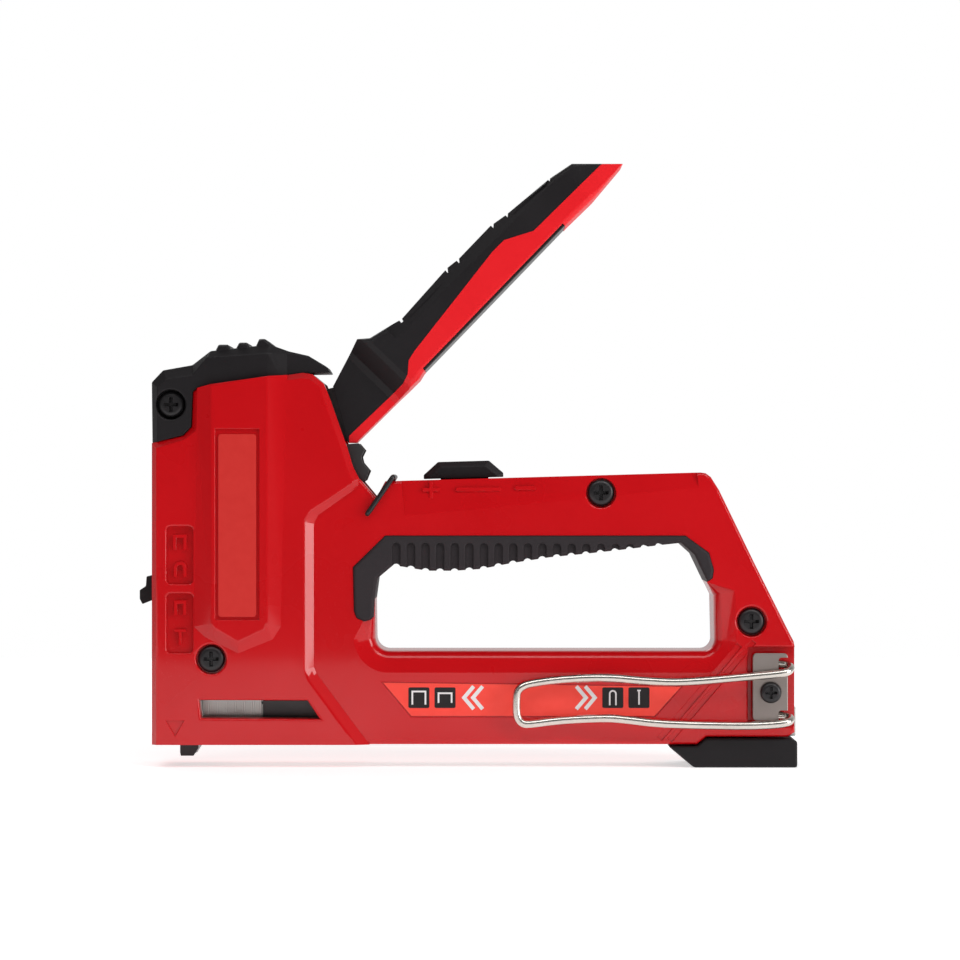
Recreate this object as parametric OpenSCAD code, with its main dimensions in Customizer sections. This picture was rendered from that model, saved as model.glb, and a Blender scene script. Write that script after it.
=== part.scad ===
// Hand staple gun with a squeeze lever, a lifting rocker, a sprung striker and a slide-out magazine.
// Frame: X from the nose to the rear, Y across (near side is -Y), Z up.
// The origin is the centre of the nose tip's flat lower face.

/* [Housing] */
// Half width of the handle and rail
rail_half = 12.5; // [12.4:0.1:12.8]
// Half width of the thick front block
front_half = 14.5; // [14.4:0.1:15]
// Half width over the raised front rib
rib_half = 16.5; // [16:0.1:18]
// Half width of the mechanism bay
bay_half = 10.5; // [10.4:0.1:10.8]
// Half width of the slot that the lever root runs in
slot_half = 9.6; // [9.4:0.1:9.8]
// Half width of the magazine bay
mag_half = 8.2; // [8:0.1:8.4]
// Slope of the handle's top edge, in degrees
handle_tilt = 1.6; // [1.5:0.05:1.7]

/* [Lever] */
// Angle of the open lever above level, in degrees
lever_angle = 46; // [45.5:0.1:46.5]
// Half width of the palm part
palm_half = 12; // [11:0.1:12.5]
// Half width of the root between the housing shells
root_half = 6.5; // [6.2:0.1:6.7]
// Half width of the steel core
core_half = 5; // [4:0.1:5]
// Radius of the lever's pivot pin
pivot_r = 2.5; // [2:0.1:2.6]
// Radial running clearance of every pivot
run_gap = 0.05; // [0.02:0.01:0.08]

/* [Drive] */
// Radius of the rocker's pin
rocker_pin_r = 2; // [1.6:0.1:2]
// Mean radius of the main spring
main_coil_r = 3.3; // [3:0.1:3.3]
// Wire diameter of the main spring
main_wire = 1.4; // [1.2:0.1:1.4]
// Thickness of the driver blade
blade_thick = 1.2; // [0.9:0.1:1.2]

/* [Magazine] */
// Half width of the staple strip
strip_half = 5.3; // [5.2:0.05:5.4]
// Half width of the rail
rail_bar_half = 3.9; // [3.7:0.05:3.9]
// Half width of the rear foot
foot_half = 13; // [12.5:0.1:13.5]

/* [Trim and hardware] */
// Half width of the top bumper
bumper_half = 13.5; // [13:0.1:14]
// Half width of the rubber grip
grip_half = 13.2; // [13:0.1:13.4]
// Radius of a screw head
head_r = 3.9; // [3.7:0.1:4]
// Diameter of the belt hook's wire
hook_wire = 2.4; // [2.2:0.1:2.4]
// Diameter of the lock bail's wire
bail_wire = 1.5; // [1.3:0.1:1.6]

/* [Hidden] */
$fn = 48;
eps = 0.01;
far = 400;

red = [0.78, 0.03, 0.05];
black = [0.12, 0.12, 0.125];
steel = [0.72, 0.70, 0.68];
dark_steel = [0.2, 0.2, 0.21];

pivot = [35.1, 100.8];
rocker_pivot = [41.5, 79.5];
bail_pivot = [53.2, 70.7];
bail_bar = [60.6, 81.4];
screw_spots = [[7.9, 28.6], [121, 76.8], [164.7, 39.4]];
screw_sides = [front_half, rail_half, rail_half];
bumper_screw_spot = [-3.9, 102.4];
bracket_screw_spot = [170.1, 18.9];
spring_x = 0.2;
spring_low = 52;
spring_high = 88;
rod_z = 10.2;
steps = 6;

// Points of an arc about [x, z], turning from angle a to angle b.
function arc(x, z, r, a, b) = [for (i = [0:steps]) let (t = a + (b - a) * i / steps)
    [x + r * cos(t), z + r * sin(t)]];

function backwards(p) = [for (i = [len(p) - 1:-1:0]) p[i]];

// An outline in the X-Z plane given thickness along Y, from y0 to y1.
module side(y0, y1) {
    translate([0, y1, 0]) rotate([90, 0, 0]) linear_extrude(y1 - y0) children();
}

// A round bar along Y at [x, z], from y0 to y1.
module bar(at, r, y0, y1) {
    translate([at[0], y1, at[1]]) rotate([90, 0, 0]) cylinder(r = r, h = y1 - y0);
}

module block(low, high) {
    translate(low) cube(high - low);
}

function unit(v) = v / norm(v);

// A round wire along a path. side_of[i] is a direction across the wire at point i.
module wire(path, side_of, r, sides) {
    last = len(path) - 1;
    along = [for (i = [0:last]) unit(path[min(i + 1, last)] - path[max(i - 1, 0)])];
    across = [for (i = [0:last]) unit(cross(along[i], side_of[i]))];
    up = [for (i = [0:last]) cross(across[i], along[i])];
    points = [for (i = [0:last]) for (j = [0:sides - 1]) let (t = 360 * j / sides)
        path[i] + r * (cos(t) * across[i] + sin(t) * up[i])];
    walls = [for (i = [0:last - 1]) for (j = [0:sides - 1]) for (half = [0, 1])
        let (k = (j + 1) % sides, a = i * sides, b = a + sides)
        half == 0 ? [a + j, a + k, b + k] : [a + j, b + k, b + j]];
    start_cap = [for (j = [sides - 1:-1:0]) j];
    end_cap = [for (j = [0:sides - 1]) last * sides + j];
    polyhedron(points, concat([start_cap], walls, [end_cap]), convexity = 10);
}

// A coil spring about +Z from the origin, with its turns inside 0 to height.
module coil(mean_r, wire_d, height, turns, per_turn, sides) {
    count = floor(turns * per_turn);
    rise = height - wire_d;
    path = [for (i = [0:count]) let (t = 360 * i / per_turn)
        [mean_r * cos(t), mean_r * sin(t), wire_d / 2 + rise * i / count]];
    out = [for (i = [0:count]) let (t = 360 * i / per_turn) [cos(t), sin(t), 0]];
    wire(path, out, wire_d / 2, sides);
}

// Outlines, as [x, z] points.
roof = [[-0.2, 93.4], [2.2, 95.9], [2.6, 106], [3.9, 107.2], [34.4, 111.6]];
front_edge = concat([[-9.4, 3.7], [-9.4, 91.2]], roof,
    [[37.2, 111.2], [40.5, 108.5], [42, 104.9], [47.4, 89.6], [49, 84.3], [50.7, 81]]);
body_outline = concat(front_edge,
    [[51.6, 80.2], [55.7, 75.3], [58.3, 80.15], [60.3, 80.2], [149.9, 82.7], [152.4, 82], [155.3, 77.6],
     [165.6, 56.3], [175.7, 36.1], [177.3, 32.4], [177.3, 7.2], [175.2, 5.9], [151.6, 5.9], [149, 3.7]]);
block_outline = concat(front_edge, [[50.2, 77], [38.5, 69], [38.5, 25], [54.5, 3.7]]);
rib_outline = [[5.5, 37], [15.8, 32], [26.5, 37], [26.8, 110.5], [5.5, 107.43]];
plate_outline = [[10.1, 40.9], [21.1, 40.9], [21.1, 93.8], [10.1, 93.8]];

grip_low = [[56.1, 51.9], [60.5, 55.6], [63.3, 55.3], [70.5, 54.1], [78.3, 54.1], [86, 54.6], [94.9, 56.3],
    [106, 58], [117.1, 59.1], [127.9, 60.3], [138.6, 61.6], [144.2, 62.2], [148, 58.8], [151.8, 50.9]];
grip_outline = concat([[55.3, 46], [55, 40.8], [52.2, 39.4], [49.2, 42.4], [48.9, 55.2], [58.3, 64.4],
    [145.5, 64.4], [152.4, 59.4], [153.8, 54.4], [153.4, 51.9]], backwards(grip_low));
hand_opening = concat(arc(59.3, 34.6, 3.8, 180, 270), arc(150.8, 34, 3.2, 270, 360),
    [[153.7, 46.9]], backwards(grip_low), [[55.3, 46]]);
label_outline = [[57.2, 21.9], [65.8, 11.7], [136.6, 11.7], [144.7, 20.7]];
window_outline = [[4.5, 16.7], [5, 11.5], [39.4, 11.2], [35.8, 16.6]];

lever_low = [[47.3, 91.4], [49.7, 91.4], [68.2, 109.8], [69.5, 111.9], [112, 155.7], [119, 162.5],
    [127.5, 171.4], [127.5, 172.5]];
lever_split = [[121.3, 172.5], [101.4, 152.9], [92.8, 150.2], [89.4, 146.8], [66.8, 118], [65.1, 115.3],
    [64.8, 111.2], [63.4, 108.5], [47.6, 93.4]];
lever_top = [[42.9, 107.8], [50.1, 121.5], [53.8, 121.8], [60, 125.6], [63, 127.3], [76.4, 142.3],
    [79.5, 144.7], [88.7, 154.3], [93.5, 157.7], [105.8, 168], [112.5, 172.5]];

bay_outline = [[-6, 18], [6, 18], [6, 21], [34, 21], [34, 66], [36, 66], [36, 108.6], [30, 108.6],
    [4.1, 104.6], [4.1, 90.5], [-6, 90.5]];
rear_bay_outline = [[30, 22], [46, 22], [46, 58], [34, 62], [30, 62]];
slot_outline = [[34, 66], [50, 66], [58, 75.5], [58, 90], [46, 108.6], [34, 108.6]];

// One half shell of the housing, on the -Y side of the seam.
module half_housing() {
    difference() {
        union() {
            difference() {
                union() {
                    side(-rail_half, 0) polygon(body_outline);
                    side(-front_half, -eps) polygon(block_outline);
                    side(-rib_half, -eps * 2) polygon(rib_outline);
                }
                side(-bay_half, 1) polygon(bay_outline);
                side(-slot_half, 1) polygon(slot_outline);
                side(-slot_half, 1) polygon(rear_bay_outline);
                block([-6, -mag_half, 3], [179, 1, 18.5]);
                on_handle() block([2, -4.7, -6.5], [45, 1, -3.7]);
            }
            bar(screw_spots[0], head_r + 0.7, -bay_half - 1, 0);
            block([3, -bay_half - 1, 31], [12, -8, 34]);
        }
        side(-far, 1) polygon(hand_opening);
        side(-far, -rail_half + 1.6) polygon(grip_outline);
        difference() {
            side(-far, 1) polygon(grip_outline);
            side(-far, 2) translate([0, 2.3]) polygon(grip_outline);
        }
        side(-far, -mag_half + 1) polygon(window_outline);
        side(-far, -rib_half + 0.8) translate([-0.8, -0.8]) square_over(plate_outline, 1.6);
        side(-far, -rail_half + 0.4) polygon(label_outline);
        // pin and screw seats
        bar(pivot, pivot_r, -13, 1);
        bar(rocker_pivot, rocker_pin_r, -13, 1);
        bar(bail_pivot, bail_wire / 2 + 0.15, -far, -9);
        for (s = screw_spots) bar(s, 2.2, -far, 1);
        for (i = [0:2]) bar(screw_spots[i], head_r + 0.4, -far, 2.4 - screw_sides[i]);
        // slots for the power knob's stem and for the staple selector
        block([66, -3, 76], [101, 1, 90]);
        block([-10, -2.3, 38], [-5, 1, 59]);
    }
}

// The rectangle of an outline's own corners, made larger by m.
module square_over(p, m) {
    translate(p[0]) square([p[1][0] - p[0][0] + m, p[2][1] - p[1][1] + m]);
}

module housing_near() {
    color(red) difference() {
        half_housing();
        // recess for the hook bracket
        block([163.6, -far, 9], [179, -10, 32]);
        bar(bracket_screw_spot, 1.6, -far, -8.8);
    }
}

module housing_far() {
    color(red) mirror([0, 1, 0]) half_housing();
}

module top_bumper() {
    ribs = [[7.9, 118.1], [9.4, 119], [10.4, 120], [12.8, 120], [13.6, 119.1], [14.7, 119.2], [15.5, 120.5],
        [18.1, 120.5], [18.9, 119.3], [20.5, 119.5], [21.4, 121.6], [23, 121.6], [24.4, 120.2]];
    color(black) difference() {
        side(-bumper_half, bumper_half) polygon(concat([[-9.4, 91.2], [-9.6, 108.9], [-6.3, 112.4],
            [2.2, 113.9]], ribs, [[30.3, 117.9], [33.2, 117.7], [38, 115.9], [41.3, 113.4],
            [42.3, 111.6]], backwards(roof)));
        bar(bumper_screw_spot, head_r + 0.4, -far, 3.2 - bumper_half);
        bar(bumper_screw_spot, 1.9, -far, -2);
    }
}

// A pan-head cross-recess screw along Y: its head's underside is at y_seat.
module screw(at, y_seat, shank, r, head = head_r) {
    translate([at[0], y_seat, at[1]]) rotate([90, 0, 0]) difference() {
        union() {
            cylinder(r = head, h = 1.9);
            translate([0, 0, -shank]) cylinder(r = r, h = shank + 1);
        }
        translate([-head * 0.55, -head * 0.12, 0.9]) cube([head * 1.1, head * 0.24, 2]);
        translate([-head * 0.12, -head * 0.55, 0.9]) cube([head * 0.24, head * 1.1, 2]);
    }
}

module bumper_screw() {
    color(black) screw(bumper_screw_spot, 3.2 - bumper_half, 8, 1.9);
}

module housing_screws() {
    color(black) for (i = [0:2]) screw(screw_spots[i], 2.4 - screw_sides[i], 19, 2);
}

module grip_insert() {
    color([0.2, 0.18, 0.19]) difference() {
        side(-grip_half, grip_half) polygon(grip_outline);
        side(1.6 - rail_half, rail_half - 1.6) intersection() {
            polygon(grip_outline);
            translate([0, 2.3]) polygon(grip_outline);
        }
    }
}

// The lever's width along its length: narrow at the root, wide at the palm.
module lever_plan() {
    edge = [[-12, root_half], [20, root_half], [28, palm_half], [100, palm_half], [118, palm_half - 1.5]];
    mirrored = [for (i = [len(edge) - 1:-1:0]) [edge[i][0], -edge[i][1]]];
    translate([pivot[0], 0, pivot[1]]) rotate([0, -lever_angle, 0])
        translate([0, 0, -40]) linear_extrude(80) polygon(concat(edge, mirrored));
}

// The steel core's outline, turned into the open lever's place.
module core_outline() {
    translate(pivot) rotate([0, 0, lever_angle]) union() {
        circle(r = 7.5);
        polygon([[-5, -5.2], [3, -16.4], [104, -15.6], [104, -9], [20, -7], [4, 3]]);
    }
}

module lever_shell() {
    color(red) difference() {
        intersection() {
            side(-palm_half - 1, palm_half + 1) polygon(concat(lever_low, lever_split));
            lever_plan();
        }
        side(-core_half - 0.1, core_half + 0.1) core_outline();
        bar(pivot, 8, -far / 2, far / 2);
    }
}

module lever_overmould() {
    color(black) difference() {
        intersection() {
            side(-palm_half - 1, palm_half + 1) polygon(concat(lever_top, lever_split));
            lever_plan();
        }
        side(-core_half - 0.1, core_half + 0.1) core_outline();
        bar(pivot, 8, -far / 2, far / 2);
    }
}

module lever_core() {
    color(dark_steel) difference() {
        side(-core_half, core_half) core_outline();
        bar(pivot, pivot_r + run_gap, -core_half - 1, core_half + 1);
    }
}

module lever_pivot_pin() {
    color(steel) bar(pivot, pivot_r, -13, 13);
}

module lever_return_spring() {
    color(steel) translate([pivot[0], 9.6, pivot[1]]) rotate([90, 0, 0]) coil(3.9, 0.8, 2.9, 2, 20, 8);
}

module cocking_rocker() {
    cheek = [[36, 75.5], [45, 75.5], [52.5, 80.5], [53.6, 83.2], [51.6, 85.6], [51.2, 87.2], [52.2, 89.2],
        [50.5, 91.2], [47.3, 91], [44.5, 84.5], [36, 82.8], [24, 80.3], [18, 79.4], [18, 76.4], [24, 76]];
    nose = [[9, 76.4], [9, 78.4], [24, 80.3], [24, 76]];
    color(dark_steel) difference() {
        union() {
            for (y = [-9, 7]) side(y, y + 2) polygon(cheek);
            side(-8, 8) polygon([[18, 76.4], [18, 79.4], [24, 80.3], [24, 76]]);
            side(-4.5, 4.5) polygon(nose);
            bar([9, 77.2], 1.5, -4.5, 4.5);
        }
        bar(rocker_pivot, rocker_pin_r + run_gap, -far / 2, far / 2);
    }
}

module rocker_pin() {
    color(steel) bar(rocker_pivot, rocker_pin_r, -13, 13);
}

module striker_carrier() {
    color(steel) union() {
        block([4.7, -7, 40], [7.2, 7, 82]);
        block([-3.8, -7, 46], [4.8, 7, spring_low]);
        block([7.1, -4.6, 79], [12, 4.6, 82]);
    }
}

module driver_blade() {
    color(steel) block([0.9, -strip_half + 0.1, 1.2], [0.9 + blade_thick, strip_half - 0.1, 46]);
}

module main_spring() {
    color(dark_steel) translate([spring_x, 0, spring_low])
        coil(main_coil_r, main_wire, spring_high - spring_low, 8, 14, 8);
}

module spring_seat() {
    color(dark_steel) block([-6, -8, spring_high], [4, 8, 90.5]);
}

module shock_bumper() {
    color([0.1, 0.1, 0.1]) block([3, -bay_half, 34], [12, bay_half, 39.5]);
}

// Places children on the handle's top edge, with x measured back along it.
module on_handle() {
    translate([60.3, 0, 80.2]) rotate([0, -handle_tilt, 0]) children();
}

module power_knob() {
    color(black) on_handle() {
        union() {
            side(-6, 6) polygon([[9.1, 0.3], [32.4, 0.3], [32.4, 1.6], [28.2, 5.2], [13.5, 5.2], [9.1, 1.6]]);
            block([14, -2.5, -4], [28, 2.5, 0.4]);
        }
    }
}

module power_adjust_slide() {
    color(steel) on_handle() block([9, -4, -6.2], [33, 4, -4]);
}

module front_plate() {
    color(steel) block([-0.7, -mag_half, 6], [0.5, mag_half, 36]);
}

module nose_piece() {
    color(black) difference() {
        union() {
            side(-7, 7) polygon([[-1.7, 1], [-1.5, 0], [2.2, 0], [3.7, 2.3], [3.7, 4.3], [2.9, 4.5],
                [2.9, 6], [-1.7, 6]]);
            block([-6, -mag_half, 3.8], [-1.6, mag_half, 6]);
        }
        block([0.5, -5.6, -1], [2.5, 5.6, 7]);
    }
}

module staple_selector() {
    color(black) union() {
        side(-2, 2) polygon([[-14, 45.6], [-13.2, 44.1], [-9.9, 45.4], [-4.6, 46.4], [-4.6, 51], [-9.9, 51.4],
            [-9.9, 52.7], [-12, 52.2], [-12.2, 49.4], [-14, 48.2]]);
        block([-5.6, -6, 42], [-4.6, 6, 56]);
    }
}

module magazine_channel() {
    color(steel) difference() {
        block([3, -7.5, 4.6], [150, 7.5, 17.4]);
        block([2.5, -6.5, 4], [151, 6.5, 16.4]);
        side(-8, 8) polygon(window_outline);
    }
}

module magazine_rail() {
    color(steel) difference() {
        block([4.2, -rail_bar_half, 5.5], [176, rail_bar_half, 14.9]);
        block([5.7, -2.9, 6.5], [174.5, 2.9, 15]);
    }
}

module pusher() {
    color(dark_steel) difference() {
        union() {
            block([22.4, -strip_half, 8.2], [40, strip_half, 16.1]);
        }
        block([22, -rail_bar_half - 0.2, 8], [41, rail_bar_half + 0.2, 15.1]);
    }
    color(dark_steel) difference() {
        block([30, -2.6, 7], [34, 2.6, 15.1]);
        translate([29, 0, rod_z]) rotate([0, 90, 0]) cylinder(r = 1 + run_gap, h = 6);
    }
}

module pusher_spring() {
    color(steel) translate([34.4, 0, rod_z]) rotate([0, 90, 0]) coil(1.8, 0.7, 139.8, 16, 12, 6);
}

module pusher_rod() {
    color(steel) translate([5.7, 0, rod_z]) rotate([0, 90, 0]) cylinder(r = 1, h = 168.8);
}

module magazine_foot() {
    color(black) side(-foot_half, foot_half) polygon([[140.4, 3.3], [147.9, -3], [178, -3], [178, 4.6],
        [176.3, 5.5], [151.2, 5.5], [148.8, 3.3]]);
}

module magazine_latch() {
    color(steel) block([176, -3, 5.5], [178.4, 3, 14]);
}

module staple_strip() {
    color(steel) difference() {
        block([2.8, -strip_half, 8.6], [22, strip_half, 16.1]);
        block([1, -rail_bar_half - 0.2, 8], [23, rail_bar_half + 0.2, 15.1]);
    }
}

// A bail of wire: two stubs in the housing, two legs outside it and a bar across the handle.
module lock_bail() {
    d = (bail_bar - bail_pivot) / norm(bail_bar - bail_pivot);
    y = rail_half + bail_wire / 2 + 0.4;
    p = [bail_pivot[0], 0, bail_pivot[1]];
    q = [bail_bar[0], 0, bail_bar[1]];
    e = [d[0], 0, d[1]];
    half = [[0, 0, 0] + p + [0, -10, 0], p + [0, 0.8 - y, 0], p + [0, 0.2 - y, 0] + 0.2 * e, p + [0, -y, 0] + 0.8 * e,
        q + [0, -y, 0] - 0.8 * e, q + [0, 0.2 - y, 0] - 0.2 * e, q + [0, 0.8 - y, 0]];
    path = concat(half, [for (i = [len(half) - 1:-1:0]) [half[i][0], -half[i][1], half[i][2]]]);
    color(black) wire(path, [for (i = path) [-d[1], 0, d[0]]], bail_wire / 2, 10);
}

// The belt hook's wire, from one notch of the bracket round the loop to the other.
module belt_hook() {
    y = -15.9;
    path = [[168, -11.4, 27.3], [173.5, -11.4, 27.2], [175.3, -11.9, 26.8], [176.1, -13.4, 26.1],
        [175.2, -15.2, 25], [172.6, y, 24.4], [162.6, y, 23.5], [144.7, y - 0.6, 21.9], [134.2, y - 0.8, 22.3],
        [121.9, y - 0.6, 23.5], [108.9, y + 1.5, 22.7], [100.5, y + 0.6, 21.6], [98.1, y, 20.8],
        [96.7, y, 19.4], [96.4, y, 17.4], [96.4, y, 13], [97, y, 11.1], [98.2, y, 10], [100, y, 9.8],
        [108.9, y + 1.5, 10.9], [121.9, y - 0.6, 11.7], [127.6, y - 0.8, 11.3], [138.2, y - 0.6, 9.9],
        [162.6, y, 9.3], [172.6, y, 9.8], [175.2, -15.2, 10.4], [176.1, -13.4, 11.2], [175.3, -11.9, 11.9],
        [173.5, -11.4, 12.2], [168, -11.4, 12.3]];
    color([0.74, 0.71, 0.68]) wire(path, [for (i = path) unit([0.02, 1, 0.03])], hook_wire / 2, 10);
}

module hook_bracket() {
    color([0.74, 0.71, 0.68]) difference() {
        union() {
            side(-14, -12.9) polygon([[164.9, 10.7], [175.1, 10.7], [175.1, 30.3], [164.9, 30.3]]);
            side(-13, -10) polygon([[166.5, 14.5], [174, 14.5], [174, 24.5], [166.5, 24.5]]);
        }
        bar(bracket_screw_spot, 1.6, -far, 0);
        block([172.4, -15, 24.7], [176, -12, 29]);
        block([172.4, -15, 9.9], [176, -12, 13.7]);
    }
}

module hook_screw() {
    color(black) screw(bracket_screw_spot, -14, 5, 1.5, 3.1);
}

module nameplate(s) {
    color([0.8, 0.16, 0.13]) mirror([0, s, 0]) side(-rib_half + 0.2, -rib_half + 0.8) polygon(plate_outline);
}

module nameplate_near() {
    nameplate(0);
}

module nameplate_far() {
    nameplate(1);
}

module side_label(s) {
    color([0.92, 0.3, 0.25]) mirror([0, s, 0]) side(-rail_half + 0.1, -rail_half + 0.4) polygon(label_outline);
}

module side_label_near() {
    side_label(0);
}

module side_label_far() {
    side_label(1);
}

housing_near();
housing_far();
top_bumper();
bumper_screw();
housing_screws();
grip_insert();
lever_shell();
lever_overmould();
lever_core();
lever_pivot_pin();
lever_return_spring();
cocking_rocker();
rocker_pin();
striker_carrier();
driver_blade();
main_spring();
spring_seat();
shock_bumper();
power_knob();
power_adjust_slide();
front_plate();
nose_piece();
staple_selector();
magazine_channel();
magazine_rail();
pusher();
pusher_spring();
pusher_rod();
magazine_foot();
magazine_latch();
staple_strip();
lock_bail();
belt_hook();
hook_bracket();
hook_screw();
nameplate_near();
nameplate_far();
side_label_near();
side_label_far();
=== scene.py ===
# %% [markdown]
# # A hand staple gun
# A squeeze stapler is two die-cast shells around a sprung striker, with a long lever on top, a steel
# magazine below and a wire belt hook on one side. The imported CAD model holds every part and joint.
# This lesson builds the finished surfaces around it, in the same place and at the same size.

# %% Load the frame
import math

import bmesh
import bpy
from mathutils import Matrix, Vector


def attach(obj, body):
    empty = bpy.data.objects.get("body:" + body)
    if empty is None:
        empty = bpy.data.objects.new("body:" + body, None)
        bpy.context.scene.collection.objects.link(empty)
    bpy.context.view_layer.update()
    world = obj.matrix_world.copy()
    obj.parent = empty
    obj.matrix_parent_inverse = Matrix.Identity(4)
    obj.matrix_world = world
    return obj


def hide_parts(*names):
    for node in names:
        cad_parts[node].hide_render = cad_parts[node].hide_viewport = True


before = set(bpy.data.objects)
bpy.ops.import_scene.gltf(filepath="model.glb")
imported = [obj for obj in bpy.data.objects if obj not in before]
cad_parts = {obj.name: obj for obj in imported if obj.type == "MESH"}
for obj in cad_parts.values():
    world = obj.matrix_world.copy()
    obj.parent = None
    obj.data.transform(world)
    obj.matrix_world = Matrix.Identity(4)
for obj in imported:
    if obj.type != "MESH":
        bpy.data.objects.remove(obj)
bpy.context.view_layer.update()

# %% [markdown]
# ## Drawing in the side view
# Almost every part of this tool is an outline seen from the side, with a thickness across the tool.
# So one helper does most of the work: it lays an outline down at one depth and extrudes it through
# a stack of further outlines. A stack can be a plain slab, a slab with a rolled rim, a ramp between
# two levels or a flared cutter. Lengths are in millimetres in the frame's own X and Z, and depth is
# measured outwards from the seam towards the near side.

# %% Outline helpers
MM = 0.001


def place(x, depth, z):
    """A point of the side view at a depth from the seam, in metres."""
    return Vector((x * MM, -depth * MM, z * MM))


def grow(points, amount):
    """The outline moved outwards by an amount along its mitres; a negative amount shrinks it."""
    area = sum(a[0] * b[1] - b[0] * a[1] for a, b in zip(points, points[1:] + points[:1]))
    turn = 1 if area > 0 else -1
    moved = []
    for i, here in enumerate(points):
        before, after = points[i - 1], points[(i + 1) % len(points)]
        a = Vector((here[0] - before[0], here[1] - before[1])).normalized()
        b = Vector((after[0] - here[0], after[1] - here[1])).normalized()
        na, nb = Vector((a.y, -a.x)) * turn, Vector((b.y, -b.x)) * turn
        mitre = (na + nb).normalized()
        reach = amount / max(0.5, mitre.dot(na))
        moved.append((here[0] + mitre.x * reach, here[1] + mitre.y * reach))
    return moved


def arc(x, z, radius, start, end, steps=8):
    """Points of an arc about (x, z), with angles in degrees."""
    turns = [math.radians(start + (end - start) * i / steps) for i in range(steps + 1)]
    return [(x + radius * math.cos(t), z + radius * math.sin(t)) for t in turns]


def stack(loops):
    """A closed solid through a list of (depth, outline), made by extruding a face again and again."""
    bm = bmesh.new()
    depth, points = loops[0]
    ring = [bm.verts.new(place(x, depth, z)) for x, z in points]
    base = face = bm.faces.new(ring)
    for depth, points in loops[1:]:
        made = bmesh.ops.extrude_face_region(bm, geom=[face])["geom"]
        if face is not base:
            bmesh.ops.delete(bm, geom=[face], context="FACES_ONLY")
        face = next(g for g in made if isinstance(g, bmesh.types.BMFace))
        at = {v.co.copy().freeze(): v for v in face.verts}
        ring = [at[v.co.copy().freeze()] for v in ring]
        for corner, (x, z) in zip(ring, points):
            corner.co = place(x, depth, z)
    bmesh.ops.recalc_face_normals(bm, faces=bm.faces[:])
    return bm


def rolled(points, low, high, radius, steps=4):
    """Loops from a flat face at low to a rim rolled over by a radius at high."""
    loops = [(low, points), (high - radius, points)]
    for k in range(1, steps + 1):
        t = math.radians(90 * k / steps)
        loops.append((high - radius * (1 - math.sin(t)), grow(points, -radius * (1 - math.cos(t)))))
    return loops


def both_rolled(points, half, radius, steps=4):
    """Loops for a slab across the seam with both of its rims rolled."""
    upper = rolled(points, 0, half, radius, steps)[1:]
    lower = [(-depth, outline) for depth, outline in reversed(upper)]
    return lower + upper


def flared(points, low, high, radius, past=1.0, steps=5):
    """Loops of a cutter that leaves a rounded lip of a radius where it breaks the surface at high."""
    loops = [(low, points), (high - radius, points)]
    for k in range(1, steps + 1):
        t = math.radians(90 * k / steps)
        loops.append((high - radius + radius * math.sin(t), grow(points, radius * (1 - math.cos(t)))))
    loops.append((high + past, grow(points, radius)))
    return loops


# %% [markdown]
# ## From bmesh to finished piece
# A solid is cut and joined with exact booleans while it is still plain, then shaded smooth with its
# real corners kept sharp. The far half of the tool is the near half mirrored, so its normals are
# recalculated after the mirror.

# %% Piece helpers
scene = bpy.context.scene


def piece_from(name, bm):
    """A new object from a bmesh."""
    mesh = bpy.data.meshes.new(name)
    bm.to_mesh(mesh)
    bm.free()
    piece = bpy.data.objects.new(name, mesh)
    scene.collection.objects.link(piece)
    return piece


def apply_modifiers(piece):
    """Turns the piece's modifiers into its mesh."""
    seen = piece.evaluated_get(bpy.context.evaluated_depsgraph_get())
    mesh = bpy.data.meshes.new_from_object(seen)
    old = piece.data
    piece.modifiers.clear()
    piece.data = mesh
    bpy.data.meshes.remove(old)


def combine(piece, others, operation="DIFFERENCE"):
    """Cuts other solids out of the piece, or joins them to it."""
    for bm in others:
        other = piece_from("tool", bm)
        boolean = piece.modifiers.new("combine", "BOOLEAN")
        boolean.operation = operation
        boolean.solver = "EXACT"
        boolean.object = other
        apply_modifiers(piece)
        bpy.data.objects.remove(other)
    return piece


def other_side(bm):
    """The solid turned over to the other side of the seam."""
    bmesh.ops.scale(bm, vec=(1, -1, 1), verts=bm.verts[:])
    bmesh.ops.recalc_face_normals(bm, faces=bm.faces[:])
    return bm


def mirrored(name, piece):
    """A copy of the piece on the other side of the seam."""
    bm = bmesh.new()
    bm.from_mesh(piece.data)
    return piece_from(name, other_side(bm))


def facet_width(face):
    """How wide a face is across its longest edge."""
    return face.calc_area() / max(e.calc_length() for e in face.edges)


def smooth(piece, angle=32, facet_angle=4, facet=1.2):
    """Smooth shading that keeps crisp edges where the angle is large or where two broad facets meet."""
    bm = bmesh.new()
    bm.from_mesh(piece.data)
    bmesh.ops.remove_doubles(bm, verts=bm.verts[:], dist=1e-7)
    bmesh.ops.dissolve_degenerate(bm, edges=bm.edges[:], dist=1e-7)
    for face in bm.faces:
        face.smooth = True
    for edge in bm.edges:
        turn = math.degrees(edge.calc_face_angle(0)) if len(edge.link_faces) == 2 else 180
        broad = turn > facet_angle and min(facet_width(f) for f in edge.link_faces) > facet * MM
        edge.smooth = not (turn > angle or broad)
    bm.to_mesh(piece.data)
    bm.free()
    weighted = piece.modifiers.new("weighted", "WEIGHTED_NORMAL")
    weighted.keep_sharp = True
    weighted.weight = 100
    apply_modifiers(piece)
    return piece


def finish_piece(piece, body, material, nodes=()):
    """Material, body and the CAD nodes that the piece stands for."""
    piece.data.materials.clear()
    piece.data.materials.append(material)
    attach(piece, body)
    if nodes:
        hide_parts(*nodes)
    print(piece.name, len(piece.data.polygons), "faces")
    return piece


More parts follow.
